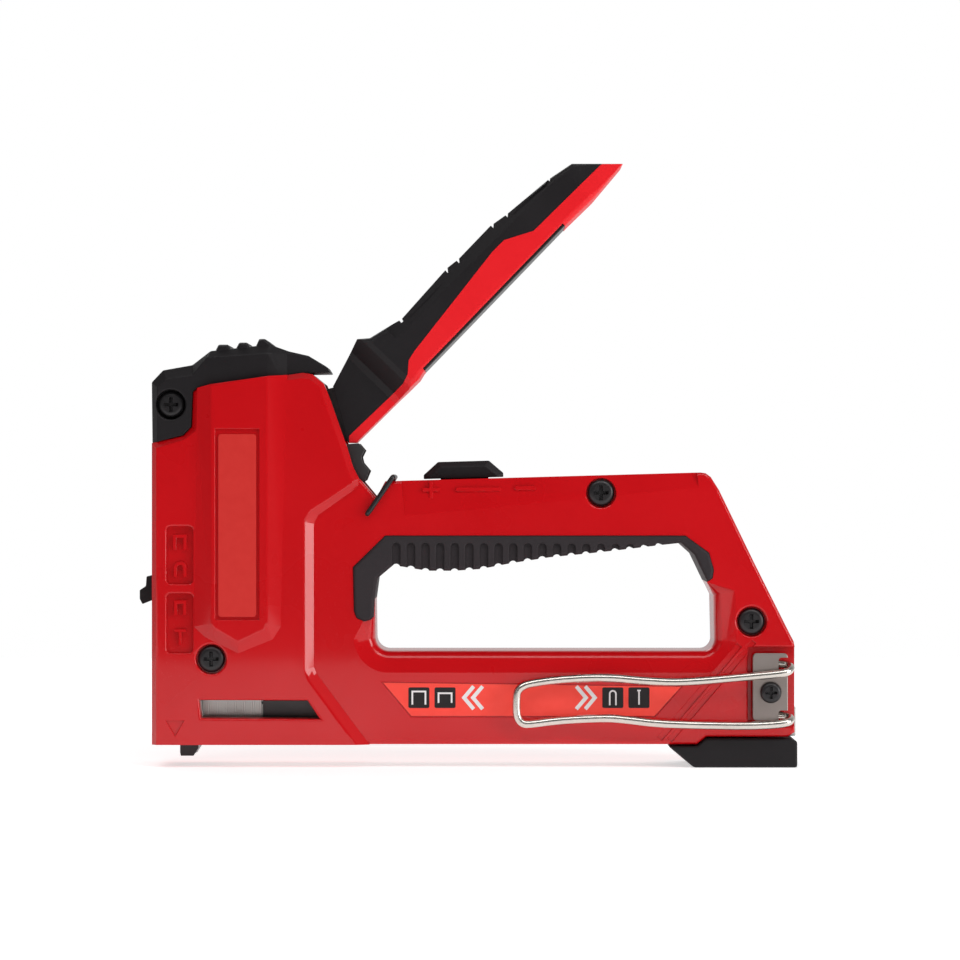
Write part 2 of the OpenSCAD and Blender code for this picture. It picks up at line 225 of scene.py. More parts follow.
def softened(node, width, segments=3, angle=25):
    """A merged and bevelled copy of a CAD part, named after it."""
    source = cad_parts[node]
    bm = bmesh.new()
    bm.from_mesh(source.data)
    bmesh.ops.remove_doubles(bm, verts=bm.verts[:], dist=2e-6)
    limit = math.radians(1.0)
    bmesh.ops.dissolve_limit(bm, angle_limit=limit, verts=bm.verts[:], edges=bm.edges[:])
    corners = [e for e in bm.edges if len(e.link_faces) == 2 and e.calc_face_angle(0) > math.radians(angle)]
    bmesh.ops.bevel(bm, geom=corners, affect="EDGES", offset=width * MM, offset_type="OFFSET",
                    segments=segments, profile=0.5, material=-1, clamp_overlap=True)
    return smooth(piece_from(node + "_finished", bm))


# %% [markdown]
# ## Shader maths in plain expressions
# A finish is a few layers of noise steering colour, roughness and a faint bump. Wrapping a socket in
# a small class lets those layers be written as sums and products, and one method adds any other node.

# %% The shader class
class Shade:
    """A socket of a material's node tree that can be used in Python expressions."""

    def __init__(self, tree, socket):
        self.tree, self.socket = tree, socket

    def node(self, kind, settings=None, output=0, **inputs):
        """Adds a node of a type with its settings and the values or links of its sockets."""
        made = self.tree.nodes.new(kind)
        for key, value in (settings or {}).items():
            if key == "stops":
                ramp = made.color_ramp
                while len(ramp.elements) < len(value):
                    ramp.elements.new(0.5)
                for element, (position, colour) in zip(ramp.elements, value):
                    element.position, element.color = position, colour
            else:
                setattr(made, key, value)
        for key, value in inputs.items():
            name = int(key[1:]) if key[0] == "_" else key.replace("_", " ")
            if isinstance(value, Shade):
                self.tree.links.new(made.inputs[name], value.socket)
            else:
                made.inputs[name].default_value = value
        return Shade(self.tree, made.outputs[output])

    def maths(self, operation, first, second):
        return self.node("ShaderNodeMath", {"operation": operation}, _0=first, _1=second)

    def __add__(self, other):
        return self.maths("ADD", self, other)

    def __mul__(self, other):
        return self.maths("MULTIPLY", self, other)

    def __sub__(self, other):
        return self.maths("SUBTRACT", self, other)

    def __rsub__(self, other):
        return self.maths("SUBTRACT", other, self)

    __radd__ = __add__
    __rmul__ = __mul__


def new_finish(name, **constants):
    """A material, its Principled shader and object coordinates ready for expressions."""
    material = bpy.data.materials.new(name)
    material.use_nodes = True
    tree = material.node_tree
    shader = tree.nodes["Principled BSDF"]
    for key, value in constants.items():
        shader.inputs[key.replace("_", " ")].default_value = value
    where = Shade(tree, tree.nodes.new("ShaderNodeTexCoord").outputs["Object"])
    return material, shader, where


def feed(shader, name, value):
    """Links an expression to one of the shader's inputs."""
    value.tree.links.new(shader.inputs[name], value.socket)


def noise(where, scale, detail=2.0, roughness=0.5):
    return where.node("ShaderNodeTexNoise", output="Fac", Vector=where, Scale=scale, Detail=detail,
                      Roughness=roughness)


def between(value, low, high, to_low, to_high):
    """The value moved from one range to another, clamped."""
    return value.node("ShaderNodeMapRange", {"clamp": True}, _0=value, _1=low, _2=high, _3=to_low,
                      _4=to_high)


def colour_mix(value, first, second):
    """A colour between two colours, by a value from 0 to 1."""
    return value.node("ShaderNodeValToRGB", {"stops": [(0.0, first), (1.0, second)]}, Fac=value)


def bump(height, strength, distance):
    return height.node("ShaderNodeBump", output="Normal", Height=height, Strength=strength,
                       Distance=distance)


# %% [markdown]
# ## The finishes
# The shells wear thick gloss enamel: a deep red under a clear coat, with a slow orange-peel ripple.
# The plastics have the fine grain of a spark-eroded mould, rubber is matt and dusty, and the plated
# steel is drawn, so its roughness runs in streaks along X.

# %% Red enamel and red plastic
def enamel_finish():
    material, shader, where = new_finish("red_enamel", Specular_IOR_Level=0.12, Coat_Roughness=0.06,
                                         Coat_IOR=1.5)
    ripple = noise(where, 260.0, 1.0)
    cloud = noise(where, 30.0, 3.0)
    speck = between(noise(where, 1500.0, 1.0), 0.68, 0.8, 0.0, 1.0)
    feed(shader, "Base Color", colour_mix(cloud, (0.50, 0.0015, 0.004, 1), (0.60, 0.003, 0.007, 1)))
    feed(shader, "Roughness", 0.24 + cloud * 0.08 + speck * 0.08)
    feed(shader, "Coat Weight", between(cloud, 0.3, 0.7, 0.55, 0.75))
    feed(shader, "Normal", bump(ripple, 0.05, 0.0004))
    return material


def red_plastic_finish():
    material, shader, where = new_finish("red_plastic", Specular_IOR_Level=0.25)
    grain = noise(where, 3200.0, 2.0)
    cloud = noise(where, 45.0, 3.0)
    feed(shader, "Base Color", colour_mix(cloud, (0.74, 0.008, 0.014, 1), (0.84, 0.014, 0.020, 1)))
    feed(shader, "Roughness", 0.34 + cloud * 0.12)
    feed(shader, "Normal", bump(grain, 0.05, 0.00006))
    return material


# %% Black plastic, rubber and black steel
def black_plastic_finish():
    material, shader, where = new_finish("black_plastic", Specular_IOR_Level=0.28)
    grain = noise(where, 2600.0, 3.0)
    cloud = noise(where, 55.0, 3.0)
    feed(shader, "Base Color", colour_mix(cloud, (0.006, 0.0045, 0.0055, 1), (0.011, 0.009, 0.0105, 1)))
    feed(shader, "Roughness", 0.38 + cloud * 0.14 + grain * 0.08)
    feed(shader, "Normal", bump(grain, 0.25, 0.00008))
    return material


def rubber_finish():
    material, shader, where = new_finish("grip_rubber", Specular_IOR_Level=0.35)
    grain = noise(where, 1800.0, 4.0)
    dust = noise(where, 70.0, 4.0)
    feed(shader, "Base Color", colour_mix(dust, (0.014, 0.010, 0.012, 1), (0.026, 0.019, 0.022, 1)))
    feed(shader, "Roughness", 0.56 + dust * 0.2)
    feed(shader, "Normal", bump(grain, 0.35, 0.0001))
    return material


def black_steel_finish():
    material, shader, where = new_finish("black_steel", Specular_IOR_Level=0.6)
    mottle = noise(where, 600.0, 3.0)
    wear = between(noise(where, 240.0, 2.0), 0.6, 0.75, 0.0, 1.0)
    feed(shader, "Base Color", colour_mix(mottle, (0.012, 0.011, 0.012, 1), (0.035, 0.032, 0.034, 1)))
    feed(shader, "Metallic", between(mottle, 0.3, 0.7, 0.35, 0.6))
    feed(shader, "Roughness", 0.28 + mottle * 0.12 - wear * 0.06)
    feed(shader, "Normal", bump(mottle, 0.12, 0.00008))
    return material


# %% Plated and bare steel
def drawn_metal_finish(name, dark, light, rough, stretch=(12.0, 220.0, 220.0)):
    """Metal with fine streaks along X."""
    material, shader, where = new_finish(name)
    along = where.node("ShaderNodeMapping", output="Vector", Vector=where, Scale=stretch)
    streak = noise(along, 14.0, 4.0)
    tarnish = noise(where, 90.0, 4.0)
    feed(shader, "Base Color", colour_mix(tarnish, dark, light))
    feed(shader, "Metallic", between(tarnish, 0.2, 0.5, 0.9, 1.0))
    feed(shader, "Roughness", rough + streak * 0.16 + tarnish * 0.06)
    feed(shader, "Normal", bump(streak, 0.10, 0.00005))
    return material


# %% Printed films
def film_finish(name, first, second, rough):
    """A printed film: an even colour with a faint fibre and a satin face."""
    material, shader, where = new_finish(name, Specular_IOR_Level=0.25)
    mottle = noise(where, 420.0, 3.0)
    feed(shader, "Base Color", colour_mix(mottle, first, second))
    feed(shader, "Roughness", rough + mottle * 0.1)
    feed(shader, "Normal", bump(noise(where, 2400.0, 1.0), 0.08, 0.00004))
    return material


enamel = enamel_finish()
red_plastic = red_plastic_finish()
black_plastic = black_plastic_finish()
rubber = rubber_finish()
black_steel = black_steel_finish()
bright_steel = drawn_metal_finish("bright_steel", (0.44, 0.42, 0.40, 1), (0.62, 0.60, 0.58, 1), 0.22)
dark_steel = drawn_metal_finish("dark_steel", (0.06, 0.058, 0.06, 1), (0.11, 0.105, 0.105, 1), 0.3)
nickel = drawn_metal_finish("nickel", (0.58, 0.54, 0.49, 1), (0.74, 0.70, 0.65, 1), 0.14)
satin_steel = drawn_metal_finish("satin_steel", (0.26, 0.22, 0.20, 1), (0.38, 0.33, 0.31, 1), 0.26)
plate_film = film_finish("plate_film", (0.58, 0.022, 0.018, 1), (0.64, 0.032, 0.026, 1), 0.38)
label_film = film_finish("label_film", (0.92, 0.065, 0.045, 1), (0.98, 0.085, 0.065, 1), 0.36)
label_black = film_finish("label_black", (0.014, 0.012, 0.013, 1), (0.024, 0.021, 0.022, 1), 0.34)
label_white = film_finish("label_white", (0.74, 0.72, 0.72, 1), (0.86, 0.84, 0.84, 1), 0.36)
print("finishes", len(bpy.data.materials))

# %% [markdown]
# ## The outlines of the casting
# The casting has three levels: the thin handle and rail, the thick front block and a raised rib on
# the block. Each level is one outline, repeated here from the CAD model's side view.

# %% Casting outlines
RAIL_HALF, BLOCK_HALF, RIB_HALF = 12.5, 14.5, 16.5
BAY_HALF, SLOT_HALF, MAG_HALF = 10.5, 9.6, 8.2
FAR = 30.0

roof = [(-0.2, 93.4), (2.2, 95.9), (2.6, 106.0), (3.9, 107.2), (34.4, 111.6)]
front_edge = ([(-9.4, 3.7), (-9.4, 91.2)] + roof
              + [(37.2, 111.2), (40.5, 108.5), (42.0, 104.9), (47.4, 89.6), (49.0, 84.3), (50.7, 81.0)])
body_outline = front_edge + [
    (51.6, 80.2), (55.7, 75.3), (58.3, 80.15), (60.3, 80.2), (149.9, 82.7), (151.4, 82.5), (152.9, 81.4),
    (155.3, 77.6), (165.6, 56.3), (175.7, 36.1), (177.0, 33.6), (177.3, 32.0), (177.3, 7.2),
    (175.2, 5.9), (151.6, 5.9), (149.0, 3.7)]
block_outline = front_edge + [(50.6, 78.6), (38.9, 70.3), (37.6, 67.9), (37.6, 26.2), (38.4, 24.4),
                              (53.8, 3.7)]
block_top = ([(-8.0, 3.7), (-8.0, 89.8)] + [(0.3, 92.2), (3.6, 94.8), (4.0, 104.6), (4.7, 105.6),
             (34.0, 110.0)]
             + [(36.6, 109.7), (39.2, 107.6), (40.4, 104.4), (45.8, 89.2), (47.4, 83.8), (48.9, 80.4)]
             + [(48.6, 79.4), (36.8, 71.4), (34.9, 68.2), (34.9, 25.4), (36.0, 22.8), (49.9, 3.7)])
rib_base = [(2.8, 38.0), (6.1, 34.9), (15.8, 30.2), (25.8, 34.2), (28.2, 38.0), (30.0, 110.96),
            (3.9, 107.2)]
rib_top = [(8.1, 39.2), (9.0, 37.6), (15.8, 33.6), (23.4, 37.2), (24.2, 39.2), (24.2, 110.1),
           (8.1, 107.8)]
grip_low = [(56.1, 51.9), (60.5, 55.6), (63.3, 55.3), (70.5, 54.1), (78.3, 54.1), (86.0, 54.6),
            (94.9, 56.3), (106.0, 58.0), (117.1, 59.1), (127.9, 60.3), (138.6, 61.6), (144.2, 62.2),
            (148.0, 58.8), (151.8, 50.9)]
grip_outline = [(55.3, 46.0), (55.0, 40.8), (54.0, 39.8), (52.2, 39.4), (50.0, 40.4), (49.2, 42.4),
                (48.9, 55.2), (58.3, 64.4), (145.5, 64.4), (152.4, 59.4), (153.8, 54.4),
                (153.4, 51.9)] + grip_low[::-1]
hand_lower = arc(59.3, 34.6, 3.8, 180, 270) + arc(150.8, 34.0, 3.2, 270, 360) + [(153.7, 46.9)]
hand_opening = hand_lower + grip_low[::-1] + [(55.3, 46.0)]
print("casting outline", len(body_outline), "points")

# %% [markdown]
# ## Cutting the casting
# The cutters come next. The bays inside are plain. Cuts that the hand or eye meets are flared, so
# that the enamel rolls into them. The hand opening has a wide rolled lip with a bevel outside it, all
# round except where the rubber grip lies.

# %% Cutters of the casting
bay_outline = [(-6, 18), (6, 18), (6, 21), (34, 21), (34, 66), (36, 66), (36, 108.6), (30, 108.6),
               (4.1, 104.6), (4.1, 90.5), (-6, 90.5)]
rear_bay = [(30, 22), (46, 22), (46, 58), (34, 62), (30, 62)]
slot_outline = [(34, 66), (50, 66), (58, 75.5), (58, 90), (46, 108.6), (34, 108.6)]
window = [(4.5, 16.7), (5.0, 11.5), (39.4, 11.2), (35.8, 16.6)]
label_outline = [(57.2, 21.9), (65.8, 11.7), (136.6, 11.7), (144.7, 20.7)]
plate_recess = [(9.3, 40.1), (21.9, 40.1), (21.9, 95.3), (9.3, 95.3)]
pockets = [(-5.0, 50.4, 2.6, 67.1), (-5.0, 30.4, 2.6, 47.6)]
triangle = [(-5.1, 10.8), (0.1, 10.8), (-2.5, 6.4)]
screw_spots = [((7.9, 28.6), BLOCK_HALF), ((121.0, 76.8), RAIL_HALF), ((164.7, 39.4), RAIL_HALF)]
HEAD_R = 3.9
FACET_DROP = 2.8
POCKET_DEEP = 1.4


def rounded_box(x0, z0, x1, z1, radius, steps=5):
    """A rectangle with round corners."""
    return (arc(x0 + radius, z0 + radius, radius, 180, 270, steps)
            + arc(x1 - radius, z0 + radius, radius, 270, 360, steps)
            + arc(x1 - radius, z1 - radius, radius, 0, 90, steps)
            + arc(x0 + radius, z1 - radius, radius, 90, 180, steps))


def disc(x, z, radius, steps=40):
    return arc(x, z, radius, 0, 360, steps)[:-1]


def hand_cutter():
    """The hand opening with its rolled lip and outer bevel, which fade out under the grip."""
    lip, bevel, bevel_drop = 3.4, 2.9, 0.9
    count = len(hand_lower)

    def spread(amount):
        wide = grow(hand_opening, amount)
        return [wide[i] if i < count else hand_opening[i] for i in range(len(hand_opening))]

    loops = [(-1.0, hand_opening), (RAIL_HALF - bevel_drop - lip, hand_opening)]
    for k in range(1, 7):
        t = math.radians(90 * k / 6)
        loops.append((RAIL_HALF - bevel_drop - lip * (1 - math.sin(t)), spread(lip * (1 - math.cos(t)))))
    loops.append((RAIL_HALF + 0.02, spread(lip + bevel)))
    loops.append((RAIL_HALF + 1.0, spread(lip + bevel)))
    return stack(loops)


def slab_between(a, b, low_depth, top_depth, reach):
    """A cutter that planes a facet from the line a to b at one depth up to a reach at another."""
    bm = bmesh.new()
    along = Vector((b[0] - a[0], b[1] - a[1])).normalized()
    up = Vector((-along.y, along.x))
    for x, z in (a, b):
        for depth, lift in ((low_depth, 0), (top_depth, reach), (RAIL_HALF + 5, reach), (RAIL_HALF + 5, 0)):
            bm.verts.new(place(x + up.x * lift, depth, z + up.y * lift))
    bmesh.ops.convex_hull(bm, input=bm.verts[:])
    bmesh.ops.recalc_face_normals(bm, faces=bm.faces[:])
    return bm


def casting_cutters():
    cuts = [stack([(-1, o), (depth, o)]) for o, depth in
            ((bay_outline, BAY_HALF), (slot_outline, SLOT_HALF), (rear_bay, SLOT_HALF))]
    bay_floor = [(-6, 3), (179, 3), (179, 18.5), (-6, 18.5)]
    cuts.append(stack([(-1, bay_floor), (MAG_HALF, bay_floor)]))
    cuts.append(hand_cutter())
    cuts.append(stack([(-1, grip_outline), (FAR, grip_outline)]))
    cuts.append(stack(flared(triangle, BLOCK_HALF - 0.5, BLOCK_HALF, 0.2)))
    cuts.append(slab_between((64.0, 70.0), (149.3, 78.3), RAIL_HALF + 0.01, RAIL_HALF - FACET_DROP, 12.0))
    cuts.append(stack(flared(window, MAG_HALF - 1, BLOCK_HALF, 0.7)))
    cuts.append(stack(flared(plate_recess, RIB_HALF - 0.8, RIB_HALF, 0.3)))
    cuts.append(stack(flared(label_outline, RAIL_HALF - 0.4, RAIL_HALF, 0.25)))
    for x0, z0, x1, z1 in pockets:
        pocket = rounded_box(x0, z0, x1, z1, 1.2)
        cuts.append(stack(flared(pocket, BLOCK_HALF - POCKET_DEEP, BLOCK_HALF, 0.5)))
    for (x, z), half in screw_spots:
        cuts.append(stack(flared(disc(x, z, HEAD_R + 0.45), half - 2.4, half, 0.6)))
    return cuts


# %% [markdown]
# ## Strokes, wires and screws
# Cast marks, printed icons and grooves are all strokes: a line given width. Wire parts are a round
# section carried along a path whose corners have been cut twice, which rounds every bend.

# %% Stroke, wire and screw helpers
def stroke(points, width):
    """The outline of an open line drawn with a width."""
    left, right = [], []
    spots = [Vector(p) for p in points]
    for i, spot in enumerate(spots):
        into = (spot - spots[i - 1]).normalized() if i else None
        out = (spots[i + 1] - spot).normalized() if i + 1 < len(spots) else into
        into = into or out
        along = (into + out).normalized()
        reach = Vector((-along.y, along.x)) * (width / 2 / max(0.4, along.dot(into)))
        left.append(tuple(spot + reach))
        right.append(tuple(spot - reach))
    return left + right[::-1]


def joined(solids):
    """Several separate solids in one bmesh."""
    whole = bmesh.new()
    for bm in solids:
        mesh = bpy.data.meshes.new("part")
        bm.to_mesh(mesh)
        bm.free()
        whole.from_mesh(mesh)
        bpy.data.meshes.remove(mesh)
    return whole


def round_wire(path, radius, rounds=2, sides=18):
    """A round wire along a path of (x, y, z) in millimetres, with its corners cut round."""
    spots = [Vector(p) * MM for p in path]
    for _ in range(rounds):
        cut = [spots[0]]
        for a, b in zip(spots, spots[1:]):
            cut += [a.lerp(b, 0.25), a.lerp(b, 0.75)]
        spots = cut + [spots[-1]]
    bm = bmesh.new()
    normal, rings, last = Vector((0.02, 1, 0.03)), [], len(spots) - 1
    for i, spot in enumerate(spots):
        along = (spots[min(i + 1, last)] - spots[max(i - 1, 0)]).normalized()
        normal = (normal - along * normal.dot(along)).normalized()
        side = along.cross(normal)
        turns = [math.tau * j / sides for j in range(sides)]
        rings.append([bm.verts.new(spot + (normal * math.cos(t) + side * math.sin(t)) * radius * MM)
                      for t in turns])
    for a, b in zip(rings, rings[1:]):
        for j in range(sides):
            k = (j + 1) % sides
            bm.faces.new((a[j], a[k], b[k], b[j]))
    bm.faces.new(rings[0])
    bm.faces.new(rings[-1])
    bmesh.ops.recalc_face_normals(bm, faces=bm.faces[:])
    return bm


def cross(x, z, arm, half):
    """The outline of an upright cross."""
    corners = [(arm, -half), (arm, half), (half, half)]
    for _ in range(9):
        a, b = corners[-3]
        corners.append((-b, a))
    return [(x + a, z + b) for a, b in corners]


def pan_screw(x, z, seat, radius, shank_radius, shank, height=1.9):
    """A pan-head screw seated at a depth, and the recess to cut out of it."""
    wall, crown = 0.7, radius * 0.42
    loops = [(seat - shank, disc(x, z, shank_radius)), (seat, disc(x, z, shank_radius)),
             (seat, disc(x, z, radius - 0.1)), (seat + 0.12, disc(x, z, radius))]
    for k in range(7):
        t = math.radians(15 * k)
        loops.append((seat + wall + (height - wall) * math.sin(t),
                      disc(x, z, radius - crown * (1 - math.cos(t)))))
    top = seat + height
    wide = cross(x, z, radius * 0.56, radius * 0.13)
    deep = [(x + (a - x) * 0.62, z + (b - z) * 0.8) for a, b in wide]
    return stack(loops), stack([(top - 1.2, deep), (top - 0.1, wide), (top + 1.0, wide)])


def add_screws(name, spots, body, nodes):
    """Screws in one piece, from the arguments of pan_screw."""
    made = [pan_screw(*spot) for spot in spots]
    piece = piece_from(name, joined([head for head, recess in made]))
    combine(piece, [joined([recess for head, recess in made])])
    return finish_piece(smooth(piece, 40), body, black_steel, nodes)


# %% [markdown]
# ## Cast marks
# The pockets of the block show the fasteners the tool takes: a square staple, a round one and a nail,
# cast proud of the pocket floor. A plus, a long dash and a short one stand beside the power knob.

# %% Marks on the casting
def square_staple(x, z, half, high):
    return [(x - half, z - high), (x - half, z + high), (x + half, z + high), (x + half, z - high)]


def round_staple(x, z, half, high):
    return [(x - half, z - high)] + arc(x, z + high - half, half, 180, 0, 8) + [(x + half, z - high)]


def raised(outline, low, high):
    """A cast mark with a soft top."""
    return stack([(low - 0.4, outline), (high - 0.12, outline), (high, grow(outline, -0.12))])


def cast_marks():
    floor, face = BLOCK_HALF - POCKET_DEEP, BLOCK_HALF - 0.25
    marks = [raised(stroke(square_staple(-1.2, 62.3, 1.5, 1.9), 1.0), floor, face),
             raised(stroke(round_staple(-1.1, 54.4, 1.4, 2.0), 1.0), floor, face),
             raised(stroke(square_staple(-1.1, 43.2, 1.3, 1.9), 1.0), floor, face)]
    nail = [(-1.55, 32.6), (-0.65, 32.6), (-0.65, 36.4), (0.7, 36.4), (0.7, 37.3), (-2.9, 37.3),
            (-2.9, 36.4), (-1.55, 36.4)]
    marks.append(raised(nail, floor, face))
    marks.append(raised(cross(71.6, 77.7, 2.5, 0.5), 10.9, 11.6))
    marks.append(raised(rounded_box(78.8, 77.2, 91.9, 78.4, 0.5, 3), 11.0, 11.75))
    marks.append(raised(rounded_box(96.0, 77.6, 102.1, 78.8, 0.5, 3), 11.3, 12.0))
    return joined(marks)


# %% [markdown]
# ## The two shells
# The near shell is the three levels joined, then cut. The ramps between the levels are part of the
# stacks: the base outline of a level is wider than its top. The far shell is its mirror image. Only the
# near shell has the step for the hook's bracket and the two grooves that run down behind the hook.

# %% Build the shells
def shell_solid():
    shell = piece_from("housing_near_shell", stack(rolled(body_outline, 0.0, RAIL_HALF, 1.1)))
    block = [(0.2, block_outline), (RAIL_HALF - 0.1, block_outline), (RAIL_HALF + 0.2, block_outline)]
    ramp = [tuple(b + (t - b) * 0.86 for b, t in zip(base, top)) for base, top in
            zip(block_outline, block_top)]
    block += [(BLOCK_HALF - 0.35, ramp), (BLOCK_HALF - 0.08, block_top),
              (BLOCK_HALF, grow(block_top, -0.5))]
    rib = [(1.0, rib_base), (BLOCK_HALF - 0.05, rib_base), (RIB_HALF - 0.25, grow(rib_top, 0.45)),
           (RIB_HALF - 0.06, rib_top), (RIB_HALF, grow(rib_top, -0.4))]
    return combine(shell, [stack(block), stack(rib)], "UNION")


near_shell = combine(shell_solid(), casting_cutters())
combine(near_shell, [cast_marks()], "UNION")
far_shell = mirrored("housing_far_shell", near_shell)
bracket_step = [(163.6, 9.0), (179.0, 9.0), (179.0, 32.0), (163.6, 32.0)]
grooves = [stroke([(161.2, 32.6), (138.0, 5.4)], 1.7), stroke([(165.4, 33.6), (140.9, 4.9)], 1.5)]
combine(near_shell, [stack(flared(o, RAIL_HALF - 0.45, RAIL_HALF, 0.2)) for o in grooves])
combine(near_shell, [stack(flared(bracket_step, 10.0, RAIL_HALF, 0.5))])
for shell, side in ((near_shell, "near"), (far_shell, "far")):
    smooth(shell)
    finish_piece(shell, "body", enamel, ["housing_" + side])

# %% [markdown]
# ## Bumper and screws
# The bumper is a wedge with broad facets down each side and three ribs across its top. The screws are
# pan heads with a cross recess, in black oxide.

# %% Bumper and screws
BUMPER_HALF = 13.5
bumper_edge = [(-9.4, 91.2), (-9.6, 108.9), (-6.3, 112.4), (2.2, 113.9), (7.5, 118.0), (21.0, 119.5),
               (24.4, 120.0), (30.3, 117.9), (36.0, 116.6), (41.3, 113.4), (42.3, 111.75)]
bumper_face = [(-7.7, 91.6), (-7.7, 107.6), (-5.2, 109.7), (2.4, 110.8), (6.7, 116.1), (21.0, 117.0),
               (23.9, 117.2), (29.5, 115.0), (35.4, 114.0), (40.2, 112.2), (41.2, 111.65)]
seat_line = [(34.4, 111.65), (3.8, 107.3), (2.5, 106.0), (2.1, 96.0), (-0.3, 93.5)]
bumper_ribs = [[(8.4, 117.2), (9.8, 119.9), (12.5, 119.9), (14.0, 117.9)],
               [(14.4, 117.9), (15.8, 120.5), (18.1, 120.5), (19.5, 118.4)],
               [(20.2, 118.4), (21.6, 121.55), (23.3, 121.55), (27.6, 118.4)]]


def bevelled(bm, width, segments=2, angle=20):
    """Rounds every edge of a plain solid that is sharper than an angle."""
    corners = [e for e in bm.edges if e.calc_face_angle(0) > math.radians(angle)]
    bmesh.ops.bevel(bm, geom=corners, affect="EDGES", offset=width * MM, offset_type="OFFSET",
                    segments=segments, profile=0.5, material=-1, clamp_overlap=True)
    return bm


def plan_cutter(points, side, low=100.0, high=130.0):
    """An upright cutter from an outline seen from above, given as (x, depth)."""
    bm = bmesh.new()
    for x, depth in points:
        for z in (low, high):
            bm.verts.new(place(x, side * depth, z))
    bmesh.ops.convex_hull(bm, input=bm.verts[:])
    bmesh.ops.recalc_face_normals(bm, faces=bm.faces[:])
    return bm


edge, face = bumper_edge + seat_line, bumper_face + seat_line
bumper = piece_from("top_bumper_moulded", bevelled(stack([
    (-BUMPER_HALF, face), (2.4 - BUMPER_HALF, edge), (BUMPER_HALF - 2.4, edge), (BUMPER_HALF, face)]), 0.3))
rear_facet = [(24.0, 13.51), (29.8, 11.8), (46.0, 11.3), (46.0, 16.0), (24.0, 16.0)]
for rib in bumper_ribs:
    combine(bumper, [bevelled(stack([(-11.4, grow(rib, -0.5)), (-10.4, rib), (10.4, rib),
                                     (11.4, grow(rib, -0.5))]), 0.3)], "UNION")
for side in (1, -1):
    combine(bumper, [plan_cutter(rear_facet, side)])
combine(bumper, [stack(flared(disc(-3.9, 102.4, HEAD_R + 0.45), 10.3, BUMPER_HALF, 0.5))])
finish_piece(smooth(bumper), "body", black_plastic, ["top_bumper"])
add_screws("bumper_screw_finished", [(-3.9, 102.4, 10.3, HEAD_R, 1.9, 8.0)], "body", ["bumper_screw"])
add_screws("housing_screws_finished", [(x, z, half - 2.4, HEAD_R, 2.0, 19.0)
                                       for (x, z), half in screw_spots], "body", ["housing_screws"])
add_screws("hook_screw_finished", [(170.1, 18.9, 14.0, 3.1, 1.5, 5.0)], "body", ["hook_screw"])

# %% [markdown]
# ## The rubber grip
# The grip fills the top of the hand opening. Flutes run up both of its faces and wrap round the palm
# side, so its lower edge is scalloped; they fade out where the grip grows thin.

# %% Grip
GRIP_HALF, FLUTE_PITCH, FLUTE_FIRST, FLUTE_TOP, FLUTES = 13.2, 4.24, 61.5, 62.3, 18
THROUGH = 14


def low_edge(x):
    """The height of the grip's lower edge at x."""
    for a, b in zip(grip_low, grip_low[1:]):
        if a[0] <= x <= b[0]:
            return a[1] + (b[1] - a[1]) * (x - a[0]) / (b[0] - a[0])
    return grip_low[-1][1]


def flutes(side):
    cuts = []
    half = 1.15
    for i in range(FLUTES):
        x = FLUTE_FIRST + FLUTE_PITCH * i
        top = FLUTE_TOP - 0.02 * i
        low = low_edge(x) - 4
        slot = [(x - half, low), (x + half, low)] + arc(x, top - half, half, 0, 180, 6)
        loops = flared(slot, GRIP_HALF - 0.9, GRIP_HALF, 0.3, 1.0, 3)
        cuts.append(stack([(depth * side, o) for depth, o in loops]))
    return joined(cuts)


flute_xs = [FLUTE_FIRST + FLUTE_PITCH * i for i in range(FLUTES + 1)]
bars = [disc(x, low_edge(x) - 0.55, 1.25, 16) for x in flute_xs]
scallops = [stack([(-THROUGH, bar), (THROUGH, bar)]) for bar in bars]
grip = piece_from("grip_insert_moulded", stack(both_rolled(grow(grip_outline, -0.04), GRIP_HALF, 1.0, 4)))
combine(grip, [flutes(1), flutes(-1), joined(scallops)])
finish_piece(smooth(grip), "body", rubber, ["grip_insert"])

# %% [markdown]
# ## The lever
# The lever is one rolled form, narrowed at its root by its plan, then divided along the wavy line into
# the red shell and the soft black overmould. Notches and recess lines divide the palm side into pads:
# large, small, large, small, large. A dark liner shows along the open underside.

# %% Lever outlines
LEVER_ANGLE, PALM_HALF, PIVOT = math.radians(46), 12.0, (35.1, 100.8)
lever_low = [(47.3, 91.4), (49.7, 91.4), (68.2, 109.8), (69.5, 111.9), (112.0, 155.7), (119.0, 162.5),
             (127.4, 172.5)]
lever_split = [(121.3, 172.5), (101.4, 152.9), (92.8, 150.2), (89.4, 146.8), (66.8, 118.0), (65.1, 115.3),
               (64.8, 111.2), (63.4, 108.5), (47.6, 93.4)]
lever_top = [(42.9, 107.8), (50.1, 121.5), (53.8, 121.8), (60.0, 125.6), (63.0, 127.3), (76.4, 142.3),
             (79.5, 144.7), (88.7, 154.3), (93.5, 157.7), (105.8, 168.0), (112.5, 172.5)]


def on_lever(s, n):
    """The side-view point s along the lever from its pivot and n above its line."""
    c, d = math.cos(LEVER_ANGLE), math.sin(LEVER_ANGLE)
    return (PIVOT[0] + s * c - n * d, PIVOT[1] + s * d + n * c)


